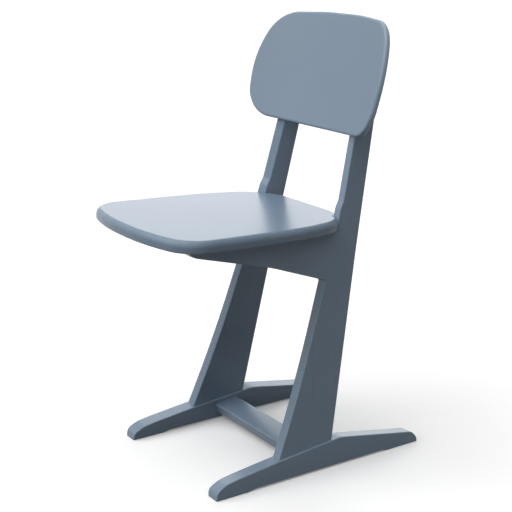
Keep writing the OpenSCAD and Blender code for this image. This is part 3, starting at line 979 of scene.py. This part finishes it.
def blended(tree, factor, a, b, kind="MIX"):
    settings = {"data_type": "RGBA", "blend_type": kind}
    return addNode(tree, "ShaderNodeMix", settings, {"Factor": factor, "A": a, "B": b}).outputs["Result"]


def bumped(tree, height, strength, distance):
    return addNode(tree, "ShaderNodeBump", None, {
        "Height": height, "Strength": strength, "Distance": distance}).outputs["Normal"]


# Satin paint over wood
def paintedWood(name, look):
    material, tree, shader, place = newFinish(name)
    along = stretched(tree, place, look["grainScale"], look["grainTurn"])
    edge = addNode(tree, "ShaderNodeAttribute", {"attribute_name": "arris"}).outputs["Fac"]
    tone = useGroup(tree, toneDrift, {"Vector": place, "Amount": look["tone"]})
    grain = useGroup(tree, woodGrain, {"Vector": along, "Scale": look["grainDensity"]})
    peel = useGroup(tree, orangePeel, {"Vector": place, "Scale": look["peelScale"]})
    rub = useGroup(tree, edgeRub, {"Vector": place, "Edge": edge, "Amount": look["rub"]})
    shade = weighted(tree, tone, (less(tree, grain, 0.5), look["grainTone"]))
    base = blended(tree, 1.0, (*look["colour"], 1), shade, "MULTIPLY")
    height = weighted(tree, 0.0, (grain, look["grainHeight"]), (peel, look["peelHeight"]))
    feed(tree, shader, {
        "Base Color": blended(tree, rub, base, (*look["rubbedColour"], 1)),
        "Roughness": weighted(tree, look["roughness"], (grain, look["grainRough"]), (rub, look["rubRough"])),
        "Normal": bumped(tree, height, 1.0, look["bumpDistance"]),
        "IOR": look["ior"],
        "Specular IOR Level": look["specular"],
        "Coat Weight": look["coat"],
        "Coat Roughness": look["coatRoughness"],
    })
    return material


paintLook = {
    "colour": (0.19, 0.26, 0.345),
    "rubbedColour": (0.36, 0.44, 0.51),
    "tone": 0.07,
    "grainScale": (1.0, 1.0, 0.06),      # lines run up the leaning boards
    "grainTurn": (0.0, 0.0, 0.0),
    "grainDensity": 260.0,
    "grainTone": 0.05,
    "grainRough": 0.05,
    "grainHeight": 0.008,
    "peelScale": 620.0,
    "peelHeight": 0.008,
    "bumpDistance": 0.001,
    "roughness": 0.3,
    "rub": 0.35,
    "rubRough": 0.12,
    "ior": 1.5,
    "specular": 0.28,
    "coat": 0.2,
    "coatRoughness": 0.2,
}
upTheLegs = (radians(20), radians(-4), 0.0)
alongY, alongX = (1.0, 0.06, 1.0), (0.06, 1.0, 1.0)
framePaint = paintedWood("framePaint", {**paintLook, "grainTurn": upTheLegs})
runnerPaint = paintedWood("runnerPaint", {**paintLook, "grainScale": alongY})
crossPaint = paintedWood("crossPaint", {**paintLook, "grainScale": alongX})
panelLook = {**paintLook, "grainTone": 0.02, "rub": 0.15, "coat": 0.0}
seatPaint = paintedWood("seatPaint", {
    **panelLook,
    "grainScale": alongY,
    "grainRough": 0.002,
    "grainHeight": 0.0001,
    "peelHeight": 0.0002,
    "roughness": 0.27,
    "specular": 0.22,
})
backPaint = paintedWood("backPaint", {
    **panelLook,
    "grainScale": alongX,
    "grainHeight": 0.003,
    "peelHeight": 0.004,
    "roughness": 0.5,
    "specular": 0.8,
})

beechLook = {
    "darkLine": (0.58, 0.37, 0.2),
    "paleLine": (0.72, 0.52, 0.31),
    "tone": 0.2,
    "grainScale": (1.0, 1.0, 0.08),
    "grainDensity": 900.0,
    "grainRough": 0.15,
    "roughness": 0.5,
    "bump": 0.3,
    "bumpDistance": 0.0002,
}


def beechWood(look):
    material, tree, shader, place = newFinish("dowelBeech")
    along = stretched(tree, place, look["grainScale"])
    grain = useGroup(tree, woodGrain, {"Vector": along, "Scale": look["grainDensity"]})
    tone = useGroup(tree, toneDrift, {"Vector": place, "Amount": look["tone"]})
    lines = blended(tree, grain, (*look["darkLine"], 1), (*look["paleLine"], 1))
    feed(tree, shader, {
        "Base Color": blended(tree, 1.0, lines, tone, "MULTIPLY"),
        "Roughness": weighted(tree, look["roughness"], (grain, look["grainRough"])),
        "Normal": bumped(tree, grain, look["bump"], look["bumpDistance"]),
    })
    return material


zincLook = {
    "colour": (0.6, 0.61, 0.63),
    "tone": 0.25,
    "peelScale": 2500.0,
    "peelRough": 0.15,
    "roughness": 0.25,
    "bump": 0.2,
    "bumpDistance": 0.0001,
}


def zincSteel(look):
    material, tree, shader, place = newFinish("screwSteel")
    tone = useGroup(tree, toneDrift, {"Vector": place, "Amount": look["tone"]})
    peel = useGroup(tree, orangePeel, {"Vector": place, "Scale": look["peelScale"]})
    feed(tree, shader, {
        "Base Color": blended(tree, 1.0, (*look["colour"], 1), tone, "MULTIPLY"),
        "Roughness": weighted(tree, look["roughness"], (peel, look["peelRough"])),
        "Normal": bumped(tree, peel, look["bump"], look["bumpDistance"]),
        "Metallic": 1.0,
    })
    return material


beech, zinc = beechWood(beechLook), zincSteel(zincLook)
print("scene: finishes made")


def screwSizes(length):
    f = fasteners
    return {key: value * millimetre for key, value in {
        "Head Radius": f["headDiameter"] / 2,
        "Head Rim": f["headRim"],
        "Head Height": f["headHeight"],
        "Recess Radius": f["recessAcross"] / 2,
        "Shank Radius": f["screwDiameter"] / 2 * f["shankShare"],
        "Length": length,
        "Thread Start": length * (1 - f["threadShare"]),
        "Thread Pitch": f["threadPitch"],
    }.items()}


# A plug's outer end lies in the upright's rear edge, which slopes less than the backrest
def plugSizes(place):
    f = fasteners
    tilt = radians(chair["splay"])
    run, rise = sideFrame["topBack"] - sideFrame["kneeBack"], topHeight - sideFrame["kneeHeight"]
    slope = run / rise * cos(tilt)
    depth = (rearEdge(place[2] - inBoard * sin(tilt)) - place[1]) / (cos(backLean) + sin(backLean) * slope)
    return {
        "Radius": (f["sinkDiameter"] / 2 - f["plugGap"]) * millimetre,
        "Chamfer": f["plugChamfer"] * millimetre,
        "Inner End": -(f["headHeight"] + f["plugGap"]) * millimetre,
        "Outer End": -depth * millimetre,
        "End Slope": tan(backLean - atan(slope)),
    }


# Adds the other piece's mesh to the first
def takeIn(piece, other):
    work = bmesh.new()
    for part in (piece, other):
        work.from_mesh(part.data)
    work.to_mesh(piece.data)
    work.free()
    bpy.data.objects.remove(other)


screwTree, plugTree = makeScrewTree(), makePlugTree()
rows = []
for name, key, turn, node in (
    ("Runner", "runner", upTheBoard, "runner_screws"),
    ("Seat", "seat", upTheBoard, "seat_screws"),
    ("Back", "back", intoTheBack, "backrest_screws"),
):
    sizes = screwSizes(fasteners[key + "ScrewLength"])
    left = makeRow("left" + name + "Screws", screwTree, places[key], turn, sizes, zinc)
    rows.append((left, zinc, "screw_steel", [node + "_left"]))
    rows.append((mirrored(left, "right" + name + "Screws"), zinc, "screw_steel", [node + "_right"]))
leftPlugs, upperPlug = [
    makeRow("leftBackPlugs", plugTree, [place], intoTheBack, plugSizes(place), framePaint)
    for place in places["back"]]
takeIn(leftPlugs, upperPlug)
rows.append((leftPlugs, framePaint, "frame_paint", ["backrest_plugs_left"]))
rows.append((mirrored(leftPlugs, "rightBackPlugs"), framePaint, "frame_paint", ["backrest_plugs_right"]))
print("scene: screws and plugs made")


def dress(piece, material):
    piece.data.materials.clear()
    piece.data.materials.append(material)


for piece, material, slot, nodes in (
    (leftFrame, framePaint, "frame_paint", ["side_frame_left"]),
    (rightFrame, framePaint, "frame_paint", ["side_frame_right"]),
    (leftRunner, runnerPaint, "frame_paint", ["runner_left"]),
    (rightRunner, runnerPaint, "frame_paint", ["runner_right"]),
    (stretcherBoard, crossPaint, "frame_paint", ["stretcher"]),
    (seatPanel, seatPaint, "panel_paint", ["seat_panel"]),
    (backPanel, backPaint, "panel_paint", ["backrest"]),
    *rows,
):
    dress(piece, material)
    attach(piece, "root")
    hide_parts(*nodes)

for name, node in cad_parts.items():
    if "dowels" in name:
        for slot in node.material_slots:
            slot.material = beech


# Studio: pale floor, soft light from all round that falls mostly from above
studio = {
    "floorSize": 60,
    "floorColour": 0.97,      # as the camera sees it
    "floorBounce": 0.04,      # as the chair's own light sees it
    "floorLift": 0.14,
    "lampDistance": 3,
    "lampAcross": 60,         # degrees, for soft shadows
    "lamps": [                # name, where the light comes from, strength
        ("topLamp", (0, 0, 1), 0.58),
        ("frontLamp", (0, -0.8, 0.6), 0.42),
        ("leftFrontLamp", (0.6, -0.65, 0.45), 0.45),
        ("leftTopLamp", (0.5, -0.1, 0.85), 0.5),
        ("rightRearLamp", (-0.65, 0.6, 0.45), 0.9),
        ("rightFrontLamp", (-0.33, -0.56, 0.76), 1.68),
    ],
}
white = (1, 1, 1, 1)


# 1 where the camera, a reflection or a refraction looks straight at the backdrop
def seenDirectly(tree):
    seen = addNode(tree, "ShaderNodeLightPath").outputs
    plain = mathNode(tree, "MAXIMUM", seen["Is Camera Ray"], seen["Is Glossy Ray"])
    return mathNode(tree, "MAXIMUM", plain, seen["Is Transmission Ray"])


def grey(value):
    return (value, value, value, 1)


def makeFloor():
    mesh = bpy.data.meshes.new("studioFloor")
    half = studio["floorSize"] / 2
    corners = [(-half, -half, 0), (half, -half, 0), (half, half, 0), (-half, half, 0)]
    mesh.from_pydata(corners, [], [(0, 1, 2, 3)])
    floor = inScene("studioFloor", mesh)
    material = bpy.data.materials.new("paleFloor")
    material.use_nodes = True
    tree = material.node_tree
    tree.nodes.clear()
    direct = seenDirectly(tree)
    pale = blended(tree, direct, grey(studio["floorBounce"]), grey(studio["floorColour"]))
    matt = addNode(tree, "ShaderNodeBsdfDiffuse", None, {"Color": pale})
    lift = times(tree, direct, studio["floorLift"])
    glow = addNode(tree, "ShaderNodeEmission", None, {"Color": white, "Strength": lift})
    both = addNode(tree, "ShaderNodeAddShader", None, {0: matt.outputs["BSDF"], 1: glow.outputs["Emission"]})
    addNode(tree, "ShaderNodeOutputMaterial", None, {"Surface": both.outputs["Shader"]})
    floor.data.materials.append(material)


def makeWorld():
    world = bpy.data.worlds.new("studioWorld")
    world.use_nodes = True
    tree = world.node_tree
    tree.nodes.clear()
    sky = addNode(tree, "ShaderNodeBackground", None, {"Color": white, "Strength": seenDirectly(tree)})
    addNode(tree, "ShaderNodeOutputWorld", None, {"Surface": sky.outputs["Background"]})
    bpy.context.scene.world = world


def makeLamp(name, source, strength):
    lamp = bpy.data.lights.new(name, "SUN")
    lamp.angle = radians(studio["lampAcross"])
    lamp.energy = strength
    holder = inScene(name, lamp)
    holder.location = Vector(source) * studio["lampDistance"]
    holder.rotation_euler = Vector(source).to_track_quat("Z", "Y").to_euler()


def makeCamera():
    a, e, roll = (radians(camera[key]) for key in ("azimuth", "elevation", "roll"))
    right = Vector((cos(a), sin(a), 0))
    back = Vector((sin(a) * cos(e), -cos(a) * cos(e), sin(e)))
    up = back.cross(right)
    x = right * cos(roll) + up * -sin(roll)
    y = right * sin(roll) + up * cos(roll)
    lens = bpy.data.cameras.new("photoCamera")
    lens.sensor_width = camera["sensor"]
    lens.lens = camera["lens"]
    lens.clip_end = camera["reach"]
    holder = inScene("photoCamera", lens)
    holder.matrix_world = Matrix((
        (x.x, y.x, back.x, camera["place"][0]),
        (x.y, y.y, back.y, camera["place"][1]),
        (x.z, y.z, back.z, camera["place"][2]),
        (0, 0, 0, 1)))
    bpy.context.scene.camera = holder


makeFloor()
makeWorld()
for lamp in studio["lamps"]:
    makeLamp(*lamp)
makeCamera()
bpy.context.scene.view_settings.view_transform = "Standard"
print("scene: studio made")
